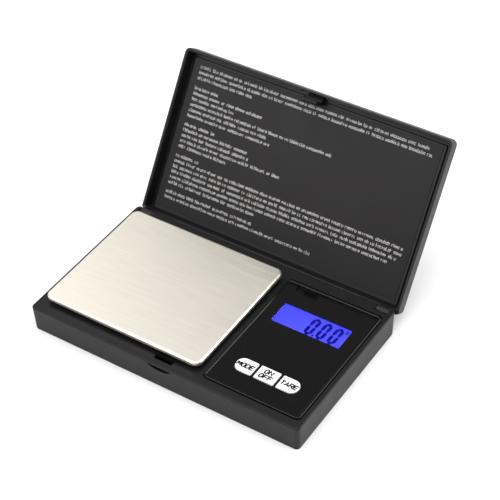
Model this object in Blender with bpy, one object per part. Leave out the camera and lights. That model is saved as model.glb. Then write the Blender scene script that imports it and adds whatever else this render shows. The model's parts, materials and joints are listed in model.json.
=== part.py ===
"""Flip-lid pocket gram scale, at rest with its lid open.

Lengths are in metres. X runs along the long side with the display at +X, the front faces -Y and Z is up.
The origin is the centre of the flat underside, on the surface that the scale stands on.
"""

import math

import bmesh
import bpy
from mathutils import Matrix, Vector

MM = 0.001

# Case
BASE_W = 128.0 * MM
BASE_D = 74.4 * MM
DECK_Z = 12.2 * MM
DRAFT = 0.4 * MM
CORNER_R = 1.8 * MM
WALL = 1.8 * MM
CEILING_Z = 10.4 * MM
COVER_T = 1.6 * MM
FIT = 0.2 * MM

# Lid
AXIS_Y = 36.85 * MM
AXIS_Z = 9.95 * MM
LID_OPEN = math.radians(123.9)
RIM_Z = 12.35 * MM
LID_TOP_Z = 19.15 * MM
LID_WALL = 1.45 * MM
LID_REAR_WALL = 2.6 * MM
HEEL = 2.8 * MM
GROOVE_Z = 17.95 * MM
PLATEAU_Z = 16.95 * MM
BARREL_R = 2.0 * MM
EAR_X = (56.2 * MM, 61.9 * MM)
KNUCKLE_X = 47.4 * MM
PIN_R = 0.75 * MM
PIN_L = 12.3 * MM

# Weighing platform
PAN_X = (-60.8 * MM, 15.35 * MM)
PAN_Y = (-32.1 * MM, 31.2 * MM)
PAN_Z = 16.1 * MM
PAN_LIP = 2.0 * MM
PAN_T = 0.6 * MM
PAN_R = 3.2 * MM
BEAM_X = (-46.2 * MM, 0.8 * MM)
BEAM_Y = -0.5 * MM
BEAM_W = 12.0 * MM
BEAM_Z = (3.9 * MM, 9.9 * MM)
FIXED_HOLES_X = (-43.6 * MM, -38.0 * MM)
FREE_HOLES_X = (-7.2 * MM, -1.6 * MM)

# Display panel
PANEL_X = (17.8 * MM, 61.9 * MM)
PANEL_Y = (-33.2 * MM, 31.1 * MM)
PANEL_Z = 12.6 * MM
PANEL_RIM_Z = 12.9 * MM
PANEL_T = 1.25 * MM
WINDOW_X = (24.05 * MM, 55.25 * MM)
WINDOW_Y = (7.1 * MM, 18.3 * MM)

# Keys
KEY_Y = -20.05 * MM
KEY_D = 7.1 * MM
KEY_W = (8.6 * MM, 9.0 * MM, 8.6 * MM)
KEY_X = (29.5 * MM, 39.5 * MM, 49.5 * MM)
KEY_TOP_Z = 13.0 * MM
KEY_FLANGE = 0.4 * MM
KEY_NAMES = ("mode", "power", "tare")

# Circuit board
BOARD_X = (21.0 * MM, 57.4 * MM)
BOARD_Y = (-29.0 * MM, 25.4 * MM)
BOARD_Z = (4.6 * MM, 5.8 * MM)
BOARD_SCREWS = ((24.0 * MM, 23.0 * MM), (54.6 * MM, -26.5 * MM))

# Battery bay, for two AAA cells side by side
BAY_X = (-50.6 * MM, 0.6 * MM)
BAY_Y = (7.8 * MM, 31.6 * MM)
BAY_END_WALL = 2.4 * MM
BAY_WALL_Z = 9.6 * MM
CELL_R = 5.25 * MM
CELL_L = 44.5 * MM
CELL_X = -47.3 * MM
CELL_Y = (14.1 * MM, 25.3 * MM)
CELL_Z = 6.52 * MM
HUMP_Z = (11.95 * MM, 13.1 * MM)
DOOR_T = 1.1 * MM

CASE_SCREWS = (
    (-59.0 * MM, -32.0 * MM),
    (-59.0 * MM, 28.4 * MM),
    (59.0 * MM, -32.0 * MM),
    (59.0 * MM, 28.4 * MM),
)

CORNER_STEPS = 4
ROUND = 20
COIL_STEPS = 9

BLACK_ABS = ((0.045, 0.045, 0.05), 0.0, 0.5)
GLOSS_BLACK = ((0.016, 0.015, 0.015), 0.0, 0.15)
WHITE_ABS = ((0.85, 0.86, 0.87), 0.0, 0.45)
STEEL = ((0.62, 0.6, 0.57), 1.0, 0.3)
ALUMINIUM = ((0.75, 0.76, 0.78), 1.0, 0.4)
GREEN_BOARD = ((0.02, 0.16, 0.07), 0.0, 0.45)
CLEAR = ((0.6, 0.65, 0.7), 0.0, 0.08)
BLUE_GLOW = ((0.1, 0.12, 0.95), 0.0, 0.4)
SILICONE = ((0.8, 0.8, 0.78), 0.0, 0.7)
RUBBER = ((0.03, 0.03, 0.03), 0.0, 0.8)
LABEL_GREY = ((0.05, 0.048, 0.05), 0.0, 0.6)
CELL_COAT = ((0.05, 0.09, 0.2), 0.0, 0.4)
RED_WIRE = ((0.6, 0.03, 0.02), 0.0, 0.5)


def clear_scene():
    for obj in list(bpy.data.objects):
        bpy.data.objects.remove(obj)


def material(name, look):
    """A Principled material from (colour, metallic, roughness)."""
    colour, metallic, roughness = look
    made = bpy.data.materials.new(name)
    made.use_nodes = True
    shader = made.node_tree.nodes["Principled BSDF"]
    shader.inputs["Base Color"].default_value = (*colour, 1.0)
    shader.inputs["Metallic"].default_value = metallic
    shader.inputs["Roughness"].default_value = roughness
    return made


def finish(name, shape, look, smooth=False):
    """Turns a bmesh into a named object with its own material."""
    bmesh.ops.recalc_face_normals(shape, faces=shape.faces)
    mesh = bpy.data.meshes.new(name)
    shape.to_mesh(mesh)
    shape.free()
    mesh.polygons.foreach_set("use_smooth", [smooth] * len(mesh.polygons))
    mesh.set_sharp_from_angle(angle=math.radians(35))
    if look:
        mesh.materials.append(material(name, look))
    obj = bpy.data.objects.new(name, mesh)
    bpy.context.scene.collection.objects.link(obj)
    return obj


def helper(name, shape):
    """A hidden solid that a Boolean modifier reads."""
    obj = finish(name, shape, None)
    obj.hide_render = True
    obj.display_type = "WIRE"
    return obj


def boolean(obj, name, shape, operation):
    modifier = obj.modifiers.new(name, "BOOLEAN")
    modifier.object = helper(f"{obj.name}_{name}", shape)
    modifier.operation = operation
    modifier.solver = "EXACT"


def cut(obj, name, shape):
    boolean(obj, name, shape, "DIFFERENCE")


def fuse(obj, name, shape):
    boolean(obj, name, shape, "UNION")


def rounded_ring(x, y, radii, z, steps=CORNER_STEPS):
    """Points of a rectangle with rounded corners, anticlockwise. radii: one radius, or one per corner
    in the order right rear, left rear, left front, right front."""
    if not isinstance(radii, tuple):
        radii = (radii,) * 4
    corners = ((x[1], y[1]), (x[0], y[1]), (x[0], y[0]), (x[1], y[0]))
    inward = ((-1, -1), (1, -1), (1, 1), (-1, 1))
    points = []
    for index, (corner, turn, radius) in enumerate(zip(corners, inward, radii)):
        centre_x = corner[0] + turn[0] * radius
        centre_y = corner[1] + turn[1] * radius
        for step in range(steps + 1):
            angle = math.pi / 2 * (index + step / steps)
            points.append(
                (
                    centre_x + radius * math.cos(angle),
                    centre_y + radius * math.sin(angle),
                    z,
                )
            )
    return points


def add_loft(shape, rings):
    """Joins rings of equal length into one closed solid with flat ends."""
    rows = [[shape.verts.new(point) for point in ring] for ring in rings]
    count = len(rows[0])
    for lower, upper in zip(rows, rows[1:]):
        for i in range(count):
            j = (i + 1) % count
            shape.faces.new((lower[i], lower[j], upper[j], upper[i]))
    shape.faces.new(reversed(rows[0]))
    shape.faces.new(rows[-1])


def loft(rings):
    shape = bmesh.new()
    add_loft(shape, rings)
    return shape


def box(*spans):
    """One solid of separate boxes, each ((x0, x1), (y0, y1), (z0, z1))."""
    shape = bmesh.new()
    for x, y, z in spans:
        corners = [(x[0], y[0]), (x[1], y[0]), (x[1], y[1]), (x[0], y[1])]
        add_loft(shape, [[(*corner, height) for corner in corners] for height in z])
    return shape


def plate(x, y, z, radii):
    return loft([rounded_ring(x, y, radii, height) for height in z])


def add_turned(shape, profile, centre, axis="Z", sides=ROUND):
    """A turned solid: profile is (radius, distance along the axis) from one end to the other."""
    order = {"X": (2, 0, 1), "Y": (1, 2, 0), "Z": (0, 1, 2)}[axis]
    rings = []
    for radius, along in profile:
        ring = []
        for i in range(sides):
            angle = 2 * math.pi * i / sides
            local = (radius * math.cos(angle), radius * math.sin(angle), along)
            ring.append(Vector(centre) + Vector([local[index] for index in order]))
        rings.append(ring)
    add_loft(shape, rings)


def turned(profile, centre, axis="Z", sides=ROUND):
    shape = bmesh.new()
    add_turned(shape, profile, centre, axis, sides)
    return shape


def rods(centres, radius, along, axis="Z", sides=ROUND):
    shape = bmesh.new()
    for centre in centres:
        add_turned(shape, [(radius, along[0]), (radius, along[1])], centre, axis, sides)
    return shape


def screw(name, x, y, head, shank, head_r, head_t, shank_r, up=True):
    """A pan-head screw along Z with a drive recess: head is the height under the head, shank the tip."""
    way = 1 if up else -1
    recess = 0.55 * head_t
    top = head - way * head_t
    profile = [
        (0.35 * head_r, top + way * recess),
        (0.42 * head_r, top),
        (0.82 * head_r, top),
        (head_r, top + way * 0.3 * head_t),
        (head_r, head),
        (shank_r, head),
        (shank_r, shank - way * shank_r),
        (0.35 * shank_r, shank),
    ]
    return finish(name, turned(profile, (x, y, 0), sides=12), STEEL, smooth=True)


def tube(name, points, radius, look, sides=8):
    """A round wire or lead through the points, with mitred bends."""
    points = [Vector(point) for point in points]
    rings = []
    side = Vector((0, 0, 1))
    for index, point in enumerate(points):
        before = (point - points[index - 1]).normalized() if index else None
        after = (points[index + 1] - point).normalized() if index + 1 < len(points) else None
        ahead = ((before or after) + (after or before)).normalized()
        side = (side - ahead * side.dot(ahead)).normalized()
        other = ahead.cross(side)
        ring = []
        for i in range(sides):
            angle = 2 * math.pi * i / sides
            ring.append(point + radius * (math.cos(angle) * side + math.sin(angle) * other))
        rings.append(ring)
    return finish(name, loft(rings), look, smooth=True)


def spring(name, start_x, end_x, y, z, radii, turns, wire):
    """A conical battery spring along X."""
    count = turns * COIL_STEPS
    points = []
    for i in range(count + 1):
        share = i / count
        angle = 2 * math.pi * turns * share
        radius = radii[0] + (radii[1] - radii[0]) * share
        points.append(
            (
                start_x + (end_x - start_x) * share,
                y + radius * math.cos(angle),
                z + radius * math.sin(angle),
            )
        )
    return tube(name, points, wire, STEEL, sides=5)


def grown(span, by):
    return (span[0] - by, span[1] + by)


def build_housing():
    """Upper shell: deck and side walls in one moulding, open underneath."""
    half = (BASE_W / 2, BASE_D / 2)

    def outside(z, inset):
        out = DRAFT * z / DECK_Z - inset
        return rounded_ring(
            (-half[0] - out, half[0] + out), (-half[1] - out, half[1] + out), CORNER_R + 0.2 * out, z
        )

    inner_x = (-half[0] + WALL, half[0] - WALL)
    inner_y = (-half[1] + WALL, half[1] - WALL)
    rings = [rounded_ring(inner_x, inner_y, 0.8 * MM, z) for z in (CEILING_Z, 0)]
    rings += [
        outside(0, 0.35 * MM),
        outside(0.35 * MM, 0),
        outside(DECK_Z - 0.6 * MM, 0),
        outside(DECK_Z - 0.18 * MM, 0.18 * MM),
        outside(DECK_Z, 0.6 * MM),
    ]
    housing = finish("housing", loft(rings), BLACK_ABS, smooth=True)

    outer = (BAY_X[0] - BAY_END_WALL - 0.4 * MM, BAY_X[1] + BAY_END_WALL + 0.4 * MM)
    hump_y = (BAY_Y[0] - 0.4 * MM, BAY_Y[1] - 0.2 * MM)
    hump = loft(
        [
            rounded_ring(outer, hump_y, 2 * MM, CEILING_Z + 0.3 * MM),
            rounded_ring(outer, hump_y, 2 * MM, HUMP_Z[1] - 0.4 * MM),
            rounded_ring(grown(outer, -0.4 * MM), grown(hump_y, -0.4 * MM), 1.6 * MM, HUMP_Z[1]),
        ]
    )
    fuse(housing, "hump", hump)
    pockets = []
    for side in (-1, 1):
        x = sorted((side * 54.4 * MM, side * (half[0] - 0.6 * MM)))
        pockets.append((x, (32.4 * MM, half[1] - 0.6 * MM), (5.6 * MM, CEILING_Z + 0.3 * MM)))
    fuse(housing, "ear_walls", box(*pockets))
    post_centres = [(x, y, 0) for x, y in CASE_SCREWS]
    fuse(housing, "posts", rods(post_centres, 2.6 * MM, (1.9 * MM, CEILING_Z + 0.3 * MM)))
    knuckles = []
    for side in (-1, 1):
        start = KNUCKLE_X if side > 0 else -KNUCKLE_X - 8.2 * MM
        knuckles.append((start, AXIS_Y, AXIS_Z))
    fuse(housing, "knuckles", rods(knuckles, BARREL_R, (0, 8.2 * MM), "X"))

    notches = []
    for side in (-1, 1):
        x = sorted((side * (EAR_X[0] - 0.3 * MM), side * (EAR_X[1] + 0.35 * MM)))
        notches.append((x, (33.8 * MM, 41 * MM), (7.0 * MM, 14 * MM)))
    cut(housing, "ear_notches", box(*notches))
    bores = [(48.4 * MM, AXIS_Y, AXIS_Z), (-56.4 * MM, AXIS_Y, AXIS_Z)]
    cut(housing, "pin_bores", rods(bores, PIN_R + 0.06 * MM, (0, 8.0 * MM), "X"))
    cut(housing, "post_bores", rods(post_centres, 1.0 * MM, (1 * MM, 8.2 * MM), sides=16))
    cells = (
        BAY_X,
        (BAY_Y[0] + 0.4 * MM, BAY_Y[1] - 1.2 * MM),
        (CEILING_Z - 1 * MM, HUMP_Z[0]),
    )
    cut(housing, "bay_ceiling", box(cells))
    seat_x = grown(PANEL_X, FIT)
    seat_y = (PANEL_Y[0] - FIT, PANEL_Y[1] + 0.8 * MM)
    cut(housing, "panel_seat", plate(seat_x, seat_y, (PANEL_Z - PANEL_T - 0.05 * MM, 15 * MM), 1.9 * MM))
    opening = (grown(PANEL_X, -2.2 * MM), (PANEL_Y[0] + 2.0 * MM, PANEL_Y[1] - 2.0 * MM), (5 * MM, 15 * MM))
    latch_slot = ((-4.3 * MM, 4.3 * MM), (-34.8 * MM, -32.4 * MM), (5 * MM, 15 * MM))
    boss_way = (
        (FREE_HOLES_X[0] - 3.9 * MM, FREE_HOLES_X[1] + 3.9 * MM),
        (BEAM_Y - 6.6 * MM, BEAM_Y + 6.6 * MM),
        (5 * MM, 15 * MM),
    )
    cut(housing, "deck_openings", box(opening, latch_slot, boss_way))
    door_way = (grown(BAY_X, 1.2 * MM), (33 * MM, 40 * MM), (-1 * MM, 2.9 * MM))
    cut(housing, "door_way", box(door_way))
    cut(housing, "finger_scoop", finger_scoop())
    return housing


def finger_scoop():
    """A thumbnail recess in the front wall, straight along its top and curved along its bottom."""
    half = 6.2 * MM
    drop = 2.0 * MM
    top = 11.1 * MM
    radius = (half**2 + drop**2) / (2 * drop)
    spread = math.asin(half / radius)
    steps = 12
    rows = []
    for y in (-BASE_D / 2 - 2 * MM, -BASE_D / 2 + 1.3 * MM):
        row = []
        for step in range(steps + 1):
            angle = spread * (2 * step / steps - 1)
            row.append((radius * math.sin(angle), y, top - drop + radius * (1 - math.cos(angle))))
        rows.append(row)
    return loft(rows)


def build_bottom_cover():
    """Rear cover let into the underside, with the battery tray, the beam pad and the board posts."""
    x = (-BASE_W / 2 + WALL + FIT, BASE_W / 2 - WALL - FIT)
    y = (-BASE_D / 2 + WALL + FIT, BASE_D / 2 - WALL - FIT)
    cover = finish("bottom_cover", plate(x, y, (0, COVER_T), 0.6 * MM), BLACK_ABS)
    end_x = (BAY_X[0] - BAY_END_WALL, BAY_X[1] + BAY_END_WALL)
    side_y = (BAY_Y[0] - 1.0 * MM, BAY_Y[1] + 1.0 * MM)
    low = COVER_T - 0.2 * MM
    tray = bmesh.new()
    add_loft(tray, [rounded_ring(end_x, side_y, 0.5 * MM, z) for z in (low, BAY_WALL_Z)])
    fuse(cover, "tray", tray)
    beam_pad = (
        (BEAM_X[0] - 1 * MM, FIXED_HOLES_X[1] + 3.4 * MM),
        (BEAM_Y - BEAM_W / 2, BEAM_Y + BEAM_W / 2),
        (low, 3.0 * MM),
    )
    fuse(cover, "beam_pad", box(beam_pad))
    posts = bmesh.new()
    for post_x, post_y in BOARD_SCREWS:
        add_turned(posts, [(2.1 * MM, low), (2.1 * MM, BOARD_Z[0] - 0.05 * MM)], (post_x, post_y, 0))
    add_turned(posts, [(3.2 * MM, low), (3.2 * MM, 2.9 * MM)], (FREE_HOLES_X[1] - 1.5 * MM, BEAM_Y, 0))
    for post_x, post_y in CASE_SCREWS:
        add_turned(posts, [(2.5 * MM, low), (2.5 * MM, 1.85 * MM)], (post_x, post_y, 0))
    fuse(cover, "bosses", posts)

    inside = (BAY_X, BAY_Y, (-1 * MM, 12 * MM))
    cut(cover, "bay", box(inside))
    groove = (grown(BAY_X, 1.2 * MM), (BAY_Y[0] - 0.4 * MM, 40 * MM), (0.45 * MM, 1.25 * MM))
    cut(cover, "door_groove", box(groove))
    way_out = (BAY_X, (30 * MM, 40 * MM), (-1 * MM, 1.3 * MM))
    cut(cover, "door_way", box(way_out))
    holes = bmesh.new()
    for hole_x, hole_y in CASE_SCREWS:
        add_turned(holes, [(1.15 * MM, -1 * MM), (1.15 * MM, 4 * MM)], (hole_x, hole_y, 0), sides=16)
    for hole_x in FIXED_HOLES_X:
        add_turned(holes, [(1.4 * MM, -1 * MM), (1.4 * MM, 4 * MM)], (hole_x, BEAM_Y, 0), sides=16)
    for hole_x, hole_y in BOARD_SCREWS:
        add_turned(holes, [(0.8 * MM, 2 * MM), (0.8 * MM, 6 * MM)], (hole_x, hole_y, 0), sides=16)
    cut(cover, "holes", holes)
    heads = bmesh.new()
    for hole_x, hole_y in CASE_SCREWS:
        add_turned(heads, [(2.2 * MM, -1 * MM), (2.2 * MM, 0.95 * MM)], (hole_x, hole_y, 0), sides=16)
    for hole_x in FIXED_HOLES_X:
        add_turned(heads, [(2.5 * MM, -1 * MM), (2.5 * MM, 1.6 * MM)], (hole_x, BEAM_Y, 0), sides=16)
    cut(cover, "counterbores", heads)
    stop = [(1.5 * MM, -1 * MM), (1.5 * MM, 4 * MM)]
    cut(cover, "stop_bore", turned(stop, (FREE_HOLES_X[1] - 1.5 * MM, BEAM_Y, 0), sides=16))
    label = ((14 * MM, 50 * MM), (-22 * MM, 14 * MM), (-1 * MM, 0.25 * MM))
    cut(cover, "label_recess", box(label))
    rating = plate((14.3 * MM, 49.7 * MM), (-21.7 * MM, 13.7 * MM), (0.08 * MM, 0.22 * MM), 1 * MM)
    finish("rating_label", rating, SILICONE)
    return cover


def build_battery_door():
    """Door that slides out to the rear, with side tongues and a lip that closes the rear wall."""
    plate_y = (BAY_Y[0] + FIT, BASE_D / 2 - 1.6 * MM)
    lip_y = (BASE_D / 2 - 1.7 * MM, BASE_D / 2)
    x = grown(BAY_X, -FIT)
    tongue_x = grown(BAY_X, 0.95 * MM)
    door = finish("battery_door", box((x, plate_y, (0, DOOR_T))), BLACK_ABS)
    tongue_y = (BAY_Y[0], BASE_D / 2 - 1.6 * MM)
    fuse(door, "tongues", box((tongue_x, tongue_y, (0.6 * MM, DOOR_T))))
    fuse(door, "lip", plate(grown(BAY_X, 0.95 * MM), lip_y, (0, 2.6 * MM), 0.3 * MM))
    grips = []
    for y in (24.0 * MM, 26.5 * MM, 29.0 * MM):
        grips.append(((x[0] + 12 * MM, x[1] - 12 * MM), (y, y + 1 * MM), (-1 * MM, 0.4 * MM)))
    cut(door, "grips", box(*grips))
    return door


def build_power():
    """Two AAA cells, their contacts and the leads to the board."""
    cell_end = CELL_X + CELL_L
    for index, y in enumerate(CELL_Y):
        # The cells lie head to tail: the first has its nub at +X, the second at -X.
        way = 1 if index == 0 else -1
        start = CELL_X if way > 0 else cell_end
        profile = [
            (0.7 * CELL_R, 0),
            (CELL_R, way * 0.3 * MM),
            (CELL_R, way * (CELL_L - 1.6 * MM)),
            (0.8 * CELL_R, way * (CELL_L - 1.1 * MM)),
            (1.9 * MM, way * (CELL_L - 1.0 * MM)),
            (1.9 * MM, way * CELL_L),
        ]
        cell = turned(profile, (start, y, CELL_Z), "X", sides=20)
        finish(f"battery_cell_{index + 1}", cell, CELL_COAT, smooth=True)
    left = BAY_X[0] + 0.1 * MM
    right = BAY_X[1] - 0.1 * MM
    bridge = ((left, left + 0.4 * MM), (CELL_Y[0] - 4 * MM, CELL_Y[1] + 4 * MM), (2.2 * MM, 9.4 * MM))
    finish("battery_bridge", box(bridge), STEEL)
    for name, y in (("battery_contact_plus", CELL_Y[0]), ("battery_contact_minus", CELL_Y[1])):
        leaf = ((right - 0.4 * MM, right), (y - 3.5 * MM, y + 3.5 * MM), (2.2 * MM, 9.95 * MM))
        contact = finish(name, box(leaf), STEEL)
        tab_y = (y - 1.4 * MM, y + 1.4 * MM)
        tab = ((right - 0.4 * MM, 4.4 * MM), tab_y, (BAY_WALL_Z + 0.05 * MM, 9.95 * MM))
        fuse(contact, "tab", box(tab))
    coil = ((3.6 * MM, 2.2 * MM), 3, 0.25 * MM)
    spring("battery_spring_left", left + 0.7 * MM, CELL_X - 0.45 * MM, CELL_Y[0], CELL_Z, *coil)
    spring("battery_spring_right", right - 0.7 * MM, cell_end + 0.45 * MM, CELL_Y[1], CELL_Z, *coil)
    for name, y, end_y, look in (
        ("battery_lead_plus", CELL_Y[0], 1.5 * MM, RED_WIRE),
        ("battery_lead_minus", CELL_Y[1], 4.0 * MM, RUBBER),
    ):
        points = [
            (4.2 * MM, y, 9.1 * MM),
            (6.0 * MM, y, 9.0 * MM),
            (8.5 * MM, y - 1.5 * MM, 8.2 * MM),
            (12.0 * MM, end_y + 2.5 * MM, 7.2 * MM),
            (17.0 * MM, end_y, 6.7 * MM),
            (22.3 * MM, end_y, 6.45 * MM),
        ]
        tube(name, points, 0.5 * MM, look)


def build_load_cell():
    """Aluminium beam with its twin-hole waist, its seals, fixings and cable."""
    centre_x = (BEAM_X[0] + BEAM_X[1]) / 2
    side_y = (BEAM_Y - BEAM_W / 2, BEAM_Y + BEAM_W / 2)
    beam = finish("load_cell_beam", box((BEAM_X, side_y, BEAM_Z)), ALUMINIUM)
    middle = (BEAM_Z[0] + BEAM_Z[1]) / 2
    eyes = [(centre_x + offset, BEAM_Y - 8 * MM, middle) for offset in (-5.5 * MM, 5.5 * MM)]
    cut(beam, "eyes", rods(eyes, 2.45 * MM, (0, 16 * MM), "Y"))
    slot_x = (centre_x - 5.5 * MM, centre_x + 5.5 * MM)
    slot = (slot_x, grown(side_y, 1 * MM), (middle - 0.5 * MM, middle + 0.5 * MM))
    cut(beam, "slot", box(slot))
    holes = [(x, BEAM_Y, 0) for x in (*FIXED_HOLES_X, *FREE_HOLES_X)]
    cut(beam, "threads", rods(holes, 1.3 * MM, (3 * MM, 11 * MM), sides=16))
    seal_x = (centre_x - 7.5 * MM, centre_x + 7.5 * MM)
    seal_y = (BEAM_Y - 4.2 * MM, BEAM_Y + 4.2 * MM)
    top = (BEAM_Z[1] + 0.02 * MM, BEAM_Z[1] + 0.36 * MM)
    finish("gauge_seal_top", plate(seal_x, seal_y, top, 1.5 * MM), SILICONE)
    under = (BEAM_Z[0] - 0.6 * MM, BEAM_Z[0] - 0.02 * MM)
    finish("gauge_seal_bottom", plate(seal_x, seal_y, under, 1.5 * MM), SILICONE)
    spacer = finish(
        "beam_spacer",
        box(((BEAM_X[0], FIXED_HOLES_X[1] + 3.2 * MM), side_y, (3.04 * MM, BEAM_Z[0] - 0.04 * MM))),
        STEEL,
    )
    holes = [(x, BEAM_Y, 0) for x in FIXED_HOLES_X]
    cut(spacer, "holes", rods(holes, 1.4 * MM, (2 * MM, 5 * MM), sides=16))
    for index, x in enumerate(FIXED_HOLES_X):
        screw(f"beam_screw_fixed_{index + 1}", x, BEAM_Y, 1.55 * MM, 9.0 * MM, 2.3 * MM, 1.3 * MM, 1.2 * MM)
    stop = [
        (0.5 * MM, 0.9 * MM),
        (0.8 * MM, 0.3 * MM),
        (1.4 * MM, 0.3 * MM),
        (1.4 * MM, 3.1 * MM),
        (1.0 * MM, 3.45 * MM),
    ]
    stop_centre = (FREE_HOLES_X[1] - 1.5 * MM, BEAM_Y, 0)
    finish("overload_stop", turned(stop, stop_centre, sides=16), STEEL, smooth=True)
    cable = [
        (centre_x + 9 * MM, side_y[0] - 0.9 * MM, 6.5 * MM),
        (centre_x + 12 * MM, side_y[0] - 2.0 * MM, 5.0 * MM),
        (centre_x + 18 * MM, side_y[0] - 4.0 * MM, 3.4 * MM),
        (2 * MM, -12.5 * MM, 2.8 * MM),
        (14 * MM, -13.5 * MM, 3.4 * MM),
        (18.2 * MM, -13.5 * MM, 5.4 * MM),
        (20.0 * MM, -13.5 * MM, 6.8 * MM),
        (22.6 * MM, -13.5 * MM, 6.75 * MM),
    ]
    tube("load_cell_cable", cable, 0.8 * MM, RUBBER)
    return beam


def build_platform():
    """Steel pan, its carrier and the two screws into the free end of the beam."""

    def pan_ring(z, inset):
        return rounded_ring(grown(PAN_X, -inset), grown(PAN_Y, -inset), max(PAN_R - inset, 0.6 * MM), z, 6)

    low = PAN_Z - PAN_LIP
    rings = [
        pan_ring(PAN_Z - PAN_T, PAN_T + 0.5 * MM),
        pan_ring(PAN_Z - PAN_T - 0.3 * MM, PAN_T),
        pan_ring(low, PAN_T),
        pan_ring(low, 0),
        pan_ring(PAN_Z - 0.9 * MM, 0),
        pan_ring(PAN_Z - 0.26 * MM, 0.26 * MM),
        pan_ring(PAN_Z, 0.9 * MM),
    ]
    finish("weighing_pan", loft(rings), STEEL, smooth=True)
    floor = PAN_Z - PAN_T
    x = grown(PAN_X, -1.7 * MM)
    y = grown(PAN_Y, -1.7 * MM)
    tray = plate(x, y, (floor - 1.35 * MM, floor - 0.2 * MM), 2.2 * MM)
    carrier = finish("platform_carrier", tray, BLACK_ABS)
    boss = (
        (FREE_HOLES_X[0] - 2.9 * MM, FREE_HOLES_X[1] + 2.9 * MM),
        (BEAM_Y - 5.6 * MM, BEAM_Y + 5.6 * MM),
        (BEAM_Z[1] + 0.04 * MM, floor - 0.5 * MM),
    )
    fuse(carrier, "boss", box(boss))
    holes = [(hole, BEAM_Y, 0) for hole in FREE_HOLES_X]
    cut(carrier, "screw_holes", rods(holes, 1.35 * MM, (8 * MM, 18 * MM), sides=16))
    cut(carrier, "counterbores", rods(holes, 2.4 * MM, (12.6 * MM, 18 * MM), sides=16))
    for index, hole in enumerate(FREE_HOLES_X):
        name = f"beam_screw_free_{index + 1}"
        screw(name, hole, BEAM_Y, 12.65 * MM, 5.2 * MM, 2.25 * MM, 1.5 * MM, 1.2 * MM, up=False)
    pad_y = grown(y, -6 * MM)
    tape = (floor - 0.17 * MM, floor - 0.03 * MM)
    finish("pan_tape_left", plate((x[0] + 4 * MM, x[0] + 16 * MM), pad_y, tape, 1 * MM), SILICONE)
    finish("pan_tape_right", plate((x[1] - 10 * MM, x[1] - 2 * MM), pad_y, tape, 1 * MM), SILICONE)


def key_radii(index, extra=0.0):
    """Corner radii of a key: the row has rounded ends and square inner corners."""
    big = 3.3 * MM + extra
    small = 0.5 * MM + extra
    return ((small, big, big, small), (small,) * 4, (big, small, small, big))[index]


def key_span(index, extra=0.0):
    half_w = KEY_W[index] / 2 + extra
    half_d = KEY_D / 2 + extra
    return (KEY_X[index] - half_w, KEY_X[index] + half_w), (KEY_Y - half_d, KEY_Y + half_d)


def build_panel():
    """Glossy panel with a raised rim, the display window and the openings for the keys."""

    def ring(z, inset):
        radius = max(1.8 * MM - inset, 0.4 * MM)
        return rounded_ring(grown(PANEL_X, -inset), grown(PANEL_Y, -inset), radius, z)

    rings = [
        ring(PANEL_Z - PANEL_T, 0),
        ring(PANEL_RIM_Z - 0.3 * MM, 0),
        ring(PANEL_RIM_Z - 0.09 * MM, 0.09 * MM),
        ring(PANEL_RIM_Z, 0.3 * MM),
        ring(PANEL_RIM_Z, 0.75 * MM),
        ring(PANEL_Z, 1.0 * MM),
    ]
    panel = finish("panel_bezel", loft(rings), GLOSS_BLACK, smooth=True)
    high = (8 * MM, 16 * MM)
    cut(panel, "window", plate(grown(WINDOW_X, 0.3 * MM), grown(WINDOW_Y, 0.3 * MM), high, 0.6 * MM))
    openings = bmesh.new()
    for index in range(3):
        x, y = key_span(index, 0.25 * MM)
        add_loft(openings, [rounded_ring(x, y, key_radii(index, 0.25 * MM), z) for z in high])
    cut(panel, "key_openings", openings)
    relief = ((23.4 * MM, 31.9 * MM), (26.4 * MM, 33 * MM), (PANEL_Z - 0.75 * MM, 16 * MM))
    cut(panel, "relief", box(relief))
    lens = plate(WINDOW_X, WINDOW_Y, (11.45 * MM, PANEL_Z - 0.05 * MM), 0.5 * MM)
    finish("display_window", lens, CLEAR)

    lcd_x = (WINDOW_X[0] - 1.9 * MM, WINDOW_X[1] + 1.9 * MM)
    lcd_y = (WINDOW_Y[0] - 2.9 * MM, WINDOW_Y[1] + 2.4 * MM)
    finish("lcd_glass", box((lcd_x, lcd_y, (8.9 * MM, 11.1 * MM))), CLEAR)
    finish("lcd_backlight", box((lcd_x, (lcd_y[0] + 2.4 * MM, lcd_y[1]), (5.9 * MM, 8.75 * MM))), BLUE_GLOW)
    strip_y = (lcd_y[0] + 0.3 * MM, lcd_y[0] + 2.1 * MM)
    strip = (grown(lcd_x, -2 * MM), strip_y, (5.87 * MM, 8.85 * MM))
    finish("lcd_connector_strip", box(strip), RUBBER)


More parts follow.
